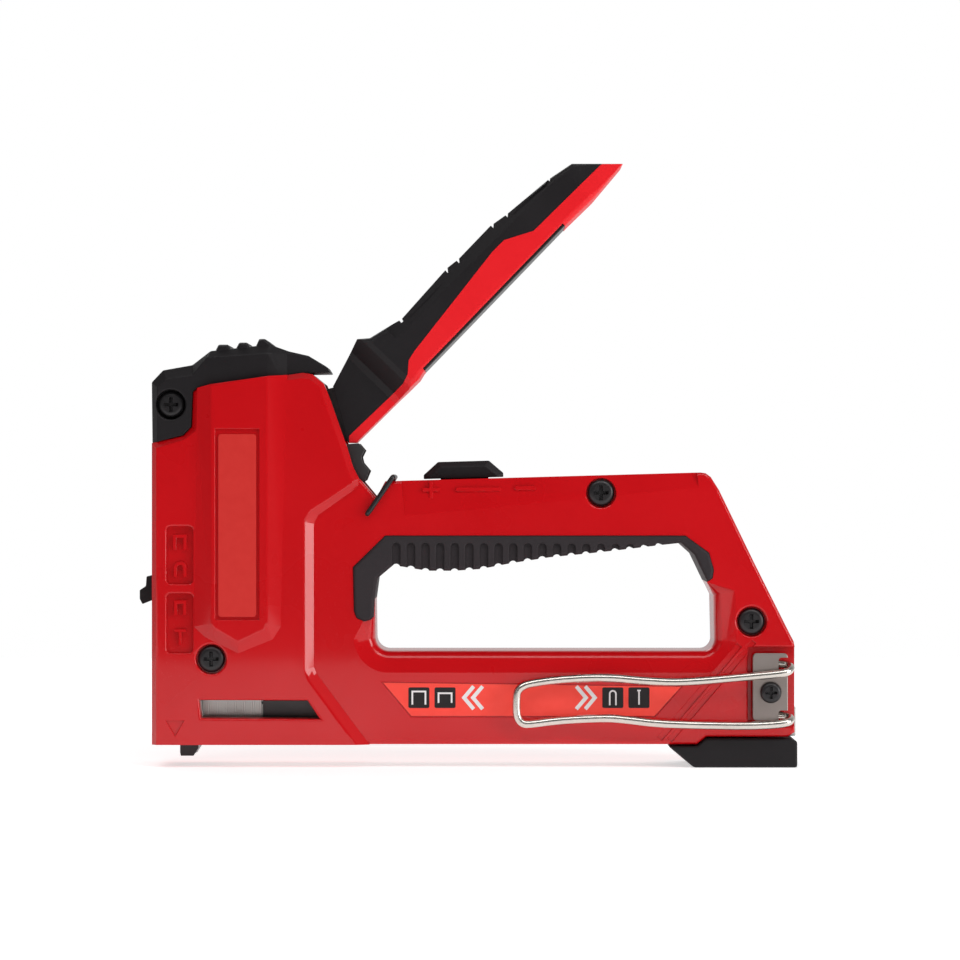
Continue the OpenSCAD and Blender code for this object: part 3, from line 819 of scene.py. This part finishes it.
def lever_plan():
    """A prism through the lever with its width in plan: narrow root, wide palm, tapered tip."""
    edge = [(-12, 6.5), (19.5, 6.5), (21.5, 7.2), (26.0, 11.2), (28.5, 12.4), (97, 12.4), (124, 10.3)]
    ring = edge + [(s, -y) for s, y in reversed(edge)]
    bm = bmesh.new()
    rows = []
    for n in (-40, 40):
        spots = [(on_lever(s, n), y) for s, y in ring]
        rows.append([bm.verts.new(place(x, y, z)) for (x, z), y in spots])
    bm.faces.new(rows[0])
    bm.faces.new(rows[1])
    for j in range(len(ring)):
        k = (j + 1) % len(ring)
        bm.faces.new((rows[0][j], rows[0][k], rows[1][k], rows[1][j]))
    bmesh.ops.recalc_face_normals(bm, faces=bm.faces[:])
    return bm


def lever_half(name, region):
    """The part of the rolled lever form inside a region of the side view."""
    piece = piece_from(name, stack(both_rolled(lever_low + lever_top[::-1], PALM_HALF, 1.8, 5)))
    part = grow(region, -0.03)
    combine(piece, [lever_plan(), stack([(-THROUGH, part), (THROUGH, part)])], "INTERSECT")
    combine(piece, [stack([(-PALM_HALF, disc(*PIVOT, 8.0)), (PALM_HALF, disc(*PIVOT, 8.0))])])
    return piece


# %% Lever pieces
under_side = lever_split + [(47.3, 85), (160, 85), (160, 180), (121.3, 180)]
palm_side = lever_split + [(47.3, 85), (20, 85), (20, 180), (121.3, 180)]
lever_red = lever_half("lever_shell_moulded", under_side)
open_side = [on_lever(32.4, -19), on_lever(91, -19), on_lever(91, -16.1), on_lever(32.4, -16.1)]
combine(lever_red, [stack([(-THROUGH, open_side), (THROUGH, open_side)])])
finish_piece(smooth(lever_red), "lever", red_plastic, ["lever_shell"])

lever_black = lever_half("lever_overmould_moulded", palm_side)
NOTCH_DEEP, PAD_LINE_DEPTHS = 0.95, (10.9, 13.0)
across_pads = Vector((-0.68, 0.74))
notches = [((62.7, 127.2), 0.9), ((76.1, 141.8), 0.9), ((79.4, 144.6), 0.9), ((89.4, 154.8), 0.9),
           ((93.6, 157.8), 0.9), ((105.9, 168.1), 0.8)]
pad_lines = [[(62.7, 127.2), (65.4, 128.2), (70.6, 133.2), (74.6, 137.6), (76.6, 141.2)],
             [(79.4, 144.6), (81.1, 145.0), (88.6, 152.6), (89.7, 154.4)],
             [(93.6, 157.8), (95.4, 157.9), (104.8, 166.0), (106.0, 167.9)]]
for side in (1, -1):
    facet = slab_between((61.5, 121.5), (110.5, 170.4), PALM_HALF + 0.02, PALM_HALF - 2.6, 5.0)
    combine(lever_black, [facet if side > 0 else other_side(facet)])
for spot, wide in notches:
    ends = [tuple(Vector(spot) + across_pads * 3), tuple(Vector(spot) - across_pads * NOTCH_DEEP)]
    combine(lever_black, [stack([(-THROUGH, stroke(ends, wide)), (THROUGH, stroke(ends, wide))])])
for side in (1, -1):
    lines = [stack([(side * d, stroke(line, 0.7)) for d in PAD_LINE_DEPTHS]) for line in pad_lines]
    combine(lever_black, [joined(lines)])
finish_piece(smooth(lever_black), "lever", black_plastic, ["lever_overmould"])

liner_edge = [on_lever(32.5, -17.0), on_lever(90.9, -17.0), on_lever(90.9, -15.4), on_lever(32.5, -15.4)]
liner = piece_from("lever_channel_liner", stack(both_rolled(liner_edge, 10.6, 0.35, 3)))
finish_piece(smooth(liner), "lever", black_steel)

# %% [markdown]
# ## Knob and foot
# The knob is a low trapezoid with broad facets. The foot is a plain block with a sloping heel.

# %% Knob and foot
def on_handle(points):
    """Points given along and above the handle's top edge, moved into the side view."""
    tilt = math.radians(1.6)
    c, s = math.cos(tilt), math.sin(tilt)
    return [(60.3 + x * c - z * s, 80.2 + x * s + z * c) for x, z in points]


knob_edge = on_handle([(9.1, 0.3), (32.4, 0.3), (32.4, 1.5), (28.3, 5.2), (13.4, 5.2), (9.1, 1.5)])
knob_face = on_handle([(11.0, 0.3), (30.6, 0.3), (30.4, 0.9), (27.2, 3.6), (14.4, 3.6), (11.2, 0.9)])
knob = piece_from("power_knob_moulded", bevelled(stack([
    (-6, knob_face), (-4.6, knob_edge), (4.6, knob_edge), (6, knob_face)]), 0.22))
stem = on_handle([(14, -4), (28, -4), (28, 0.6), (14, 0.6)])
combine(knob, [stack([(-2.5, stem), (2.5, stem)])], "UNION")
finish_piece(smooth(knob), "knob", black_plastic, ["power_knob"])

foot_outline = [(140.4, 3.3), (147.9, -3), (178, -3), (178, 4.6), (176.3, 5.5), (151.2, 5.5), (148.8, 3.3)]
foot = piece_from("magazine_foot_moulded", bevelled(stack([(-13, foot_outline), (13, foot_outline)]), 0.7, 3))
finish_piece(smooth(foot), "magazine", black_plastic, ["magazine_foot"])

# %% [markdown]
# ## Wire parts and their bracket
# The belt hook is one nickel-plated wire whose two ends curl behind the bracket. The lock bail is
# thinner, in black steel, and crosses the handle.

# %% Hook, bracket and bail
HOOK_Y = -15.86
hook_path = [
    (168, -11.4, 27.3), (173.5, -11.4, 27.2), (175.3, -11.9, 26.8), (176.1, -13.4, 26.1),
    (175.2, -15.2, 25), (172.6, HOOK_Y, 24.4), (162.6, HOOK_Y, 23.5), (144.7, HOOK_Y - 0.6, 21.9),
    (134.2, HOOK_Y - 0.78, 22.3), (121.9, HOOK_Y - 0.6, 23.5), (108.9, HOOK_Y + 1.5, 22.7),
    (100.5, HOOK_Y + 0.6, 21.6), (98.1, HOOK_Y, 20.8), (96.7, HOOK_Y, 19.4), (96.4, HOOK_Y, 17.4),
    (96.4, HOOK_Y, 13), (97, HOOK_Y, 11.1), (98.2, HOOK_Y, 10), (100, HOOK_Y, 9.8),
    (108.9, HOOK_Y + 1.5, 10.9), (121.9, HOOK_Y - 0.6, 11.7), (127.6, HOOK_Y - 0.78, 11.3),
    (138.2, HOOK_Y - 0.6, 9.9), (162.6, HOOK_Y, 9.3), (172.6, HOOK_Y, 9.8), (175.2, -15.2, 10.4),
    (176.1, -13.4, 11.2), (175.3, -11.9, 11.9), (173.5, -11.4, 12.2), (168, -11.4, 12.3)]
hook = piece_from("belt_hook_wire", round_wire(hook_path, 1.19, 3))
finish_piece(smooth(hook, 50), "body", nickel, ["belt_hook"])

plate = rounded_box(164.9, 10.7, 175.1, 30.3, 1.2)
bracket = piece_from("hook_bracket_pressed", stack(rolled(plate, 12.9, 14.0, 0.3, 3)))
pad = [(166.5, 14.5), (174, 14.5), (174, 24.5), (166.5, 24.5)]
combine(bracket, [stack([(10, pad), (13.2, pad)])], "UNION")
for low, high in ((24.7, 29.0), (9.9, 13.7)):
    combine(bracket, [stack([(12, rounded_box(172.4, low, 178, high, 0.8)),
                             (15, rounded_box(172.4, low, 178, high, 0.8))])])
finish_piece(smooth(bracket), "body", satin_steel, ["hook_bracket"])

BAIL_Y = 13.65
low, bar = Vector((53.2, 70.7)), Vector((60.6, 81.4))
run = (bar - low).normalized()


def bail_side(sign):
    steps = [(low, 10.0), (low, BAIL_Y - 0.8), (low + run * 0.2, BAIL_Y - 0.2), (low + run * 0.8, BAIL_Y),
             (bar - run * 0.8, BAIL_Y), (bar - run * 0.2, BAIL_Y - 0.2), (bar, BAIL_Y - 0.8)]
    return [(spot.x, -sign * depth, spot.y) for spot, depth in steps]


bail = piece_from("lock_bail_wire", round_wire(bail_side(1) + bail_side(-1)[::-1], 0.75, 1, 16))
finish_piece(smooth(bail, 50), "bail", black_steel, ["lock_bail"])

# %% [markdown]
# ## Plates and labels
# The plate on the rib is left plain. The side label carries only pictures: two wide staples, a round
# one and a nail in black squares, and a pair of chevrons on either side of its middle.

# %% Plates and labels
PLATE_LOW, PLATE_TOP, LABEL_LOW, LABEL_TOP = 15.7, 16.3, 12.1, 12.4
plate_outline = rounded_box(10.1, 40.9, 21.1, 93.8, 0.9)
near_plate = piece_from("nameplate_near_film", stack(rolled(plate_outline, PLATE_LOW, PLATE_TOP, 0.15, 2)))
far_plate = mirrored("nameplate_far_film", near_plate)
near_label = piece_from("side_label_near_film", stack([(LABEL_LOW, grow(label_outline, -0.3)),
                                                       (LABEL_TOP, grow(label_outline, -0.3))]))
far_label = mirrored("side_label_far_film", near_label)
films = [(near_plate, "nameplate_near", plate_film), (far_plate, "nameplate_far", plate_film),
         (near_label, "side_label_near", label_film), (far_label, "side_label_far", label_film)]
for piece, node, finish in films:
    finish_piece(smooth(piece), "body", finish, [node])

ICON_Z, INK = 17.3, 0.03
TILE_HALF, TILES_AT = 3.05, (68.1, 75.7, 124.4, 132.0)
squares = [rounded_box(x - TILE_HALF, ICON_Z - 3.0, x + TILE_HALF, ICON_Z + 3.0, 0.5) for x in TILES_AT]
tiles = [stack([(LABEL_TOP - 0.1, square), (LABEL_TOP + INK, square)]) for square in squares]
near_tiles = piece_from("label_tiles_near", joined(tiles))
far_tiles = mirrored("label_tiles_far", near_tiles)


def chevron(x, way):
    """One chevron with its point towards way."""
    tail, tip, high = x - way * 1.4, x + way * 1.4, 3.3
    return stroke([(tail, ICON_Z + high), (tip, ICON_Z), (tail, ICON_Z - high)], 1.1)


inks = [stroke(square_staple(68.1, ICON_Z - 0.1, 1.9, 1.9), 0.5),
        stroke(square_staple(75.7, ICON_Z - 0.1, 1.9, 1.4), 0.5),
        stroke(round_staple(124.4, ICON_Z - 0.1, 0.9, 2.1), 0.45),
        stroke([(132.0, ICON_Z - 2.0), (132.0, ICON_Z + 2.0)], 0.45),
        stroke([(131.5, ICON_Z + 2.1), (132.5, ICON_Z + 2.1)], 0.4)]
inks += [chevron(x, -1) for x in (82.6, 85.2)] + [chevron(x, 1) for x in (115.2, 117.8)]
near_ink = piece_from("label_ink_near", joined([stack([(LABEL_TOP - 0.1, ink), (LABEL_TOP + 2 * INK, ink)])
                                                for ink in inks]))
far_ink = mirrored("label_ink_far", near_ink)
for piece, finish in ((near_tiles, label_black), (far_tiles, label_black), (near_ink, label_white),
                      (far_ink, label_white)):
    finish_piece(smooth(piece), "body", finish)

# %% [markdown]
# ## Staples and the remaining parts
# The strip in the magazine is a row of single staples. Small visible parts are bevelled copies of their
# CAD shapes, and the hidden ones keep their CAD meshes and take a finish.

# %% Staples
def staple(x, wire=0.58):
    """One staple: an upside-down U across the magazine."""
    outer, inner, top, foot_z = 5.3, 4.3, 16.1, 8.6
    crown = top - 0.9
    ring = [(-outer, foot_z), (-outer, top), (outer, top), (outer, foot_z), (inner, foot_z),
            (inner, crown), (-inner, crown), (-inner, foot_z)]
    bm = bmesh.new()
    base = bm.faces.new([bm.verts.new((x * MM, y * MM, z * MM)) for y, z in ring])
    made = bmesh.ops.extrude_face_region(bm, geom=[base])["geom"]
    moved = [g for g in made if isinstance(g, bmesh.types.BMVert)]
    bmesh.ops.translate(bm, verts=moved, vec=(wire * MM, 0, 0))
    bmesh.ops.recalc_face_normals(bm, faces=bm.faces[:])
    return bm


STAPLES, STAPLE_PITCH = 29, 0.66
strip = piece_from("staple_strip_wires", joined([staple(2.85 + STAPLE_PITCH * i) for i in range(STAPLES)]))
finish_piece(smooth(strip), "body", bright_steel, ["staple_strip"])

# %% Bevelled copies
copies = [("nose_piece", "body", "black_steel", black_steel, 0.2),
          ("front_plate", "body", "bright_steel", bright_steel, 0.1),
          ("staple_selector", "selector", "black_plastic", black_plastic, 0.25),
          ("cocking_rocker", "rocker", "dark_steel", dark_steel, 0.15),
          ("magazine_channel", "body", "bright_steel", bright_steel, 0.1),
          ("magazine_latch", "magazine", "bright_steel", bright_steel, 0.3),
          ("pusher", "pusher", "dark_steel", dark_steel, 0.15),
          ("lever_core", "lever", "dark_steel", dark_steel, 0.2)]
for node, body, slot, material, width in copies:
    finish_piece(softened(node, width), body, material, [node])

# %% Finishes of the parts that keep their CAD meshes
kept = {"lever_pivot_pin": bright_steel, "lever_return_spring": bright_steel, "rocker_pin": bright_steel,
        "striker_carrier": bright_steel, "driver_blade": bright_steel, "main_spring": dark_steel,
        "spring_seat": dark_steel, "shock_bumper": rubber, "power_adjust_slide": bright_steel,
        "magazine_rail": bright_steel, "pusher_spring": bright_steel, "pusher_rod": bright_steel}
for node, material in kept.items():
    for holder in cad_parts[node].material_slots:
        holder.link = "OBJECT"
        holder.material = material
print("finished", len(kept), "kept parts")

# %% [markdown]
# ## Floor, light and camera
# The tool stands on its nose and foot on a plain pale floor. A side light picks out the facets, a wide
# one above rims the edges, and the surround is dim in front.

# %% Stage
FLOOR_Z, FLOOR_HALF = -0.003, 0.6


def soft_light(name, at, wide, tall, power, target=(0.085, 0, 0.08)):
    lamp = bpy.data.lights.new(name, "AREA")
    lamp.shape, lamp.size, lamp.size_y, lamp.energy = "RECTANGLE", wide, tall, power
    light = bpy.data.objects.new(name, lamp)
    light.location = at
    light.rotation_euler = (Vector(target) - Vector(at)).to_track_quat("-Z", "Y").to_euler()
    scene.collection.objects.link(light)
    return light


def build_floor():
    bm = bmesh.new()
    bmesh.ops.create_grid(bm, x_segments=1, y_segments=1, size=FLOOR_HALF)
    bmesh.ops.translate(bm, verts=bm.verts[:], vec=(0, 0, FLOOR_Z))
    floor = piece_from("floor", bm)
    material, shader, where = new_finish("floor_paper", Specular_IOR_Level=0.1, Roughness=0.9,
                                         Emission_Color=(1, 1, 1, 1), Emission_Strength=0.55)
    tone = noise(where, 3.0, 2.0)
    feed(shader, "Base Color", colour_mix(tone, (0.86, 0.86, 0.86, 1), (0.88, 0.88, 0.88, 1)))
    floor.data.materials.append(material)
    return floor


def build_world(seen, front, behind):
    """A surround that looks white, and lights dimly from the front and more strongly from behind."""
    world = bpy.data.worlds.new("studio")
    world.use_nodes = True
    tree = world.node_tree
    sky = tree.nodes["Background"]
    sky.inputs["Color"].default_value = (1, 1, 1, 1)
    path = Shade(tree, tree.nodes.new("ShaderNodeLightPath").outputs["Is Camera Ray"])
    way = Shade(tree, tree.nodes.new("ShaderNodeTexCoord").outputs["Generated"])
    away = way.node("ShaderNodeSeparateXYZ", output="Y", _0=way)
    felt = between(away, -0.1, 0.6, front, behind)
    tree.links.new(sky.inputs["Strength"], (felt + path * (seen - felt)).socket)
    scene.world = world


build_floor()
build_world(1.0, 0.09, 0.6)
soft_light("key", (0.72, -0.62, 0.85), 0.5, 0.5, 1.9)
soft_light("side", (1.0, -0.5, 0.14), 0.4, 0.6, 5.4)
soft_light("top", (0.085, -0.60, 0.92), 1.2, 0.35, 4.2)
soft_light("left", (-0.75, -0.75, 0.5), 0.5, 0.5, 0.3)
soft_light("back", (-0.3, 0.9, 0.8), 0.6, 0.6, 2.5)
scene.view_settings.view_transform = "Standard"

# %% Camera
VIEW_WIDTH, VIEW_X, VIEW_Z, NEAR_FACE = 0.2784, 0.08584, 0.0805, 0.0135
camera_data = bpy.data.cameras.new("camera")
camera_data.sensor_width = 36.0
CAMERA_AWAY = 1.0
camera_data.lens = 36.0 * CAMERA_AWAY / VIEW_WIDTH
camera = bpy.data.objects.new("camera", camera_data)
camera.location = (VIEW_X, -CAMERA_AWAY - NEAR_FACE, VIEW_Z)
camera.rotation_euler = (math.radians(90), 0, 0)
scene.collection.objects.link(camera)
scene.camera = camera
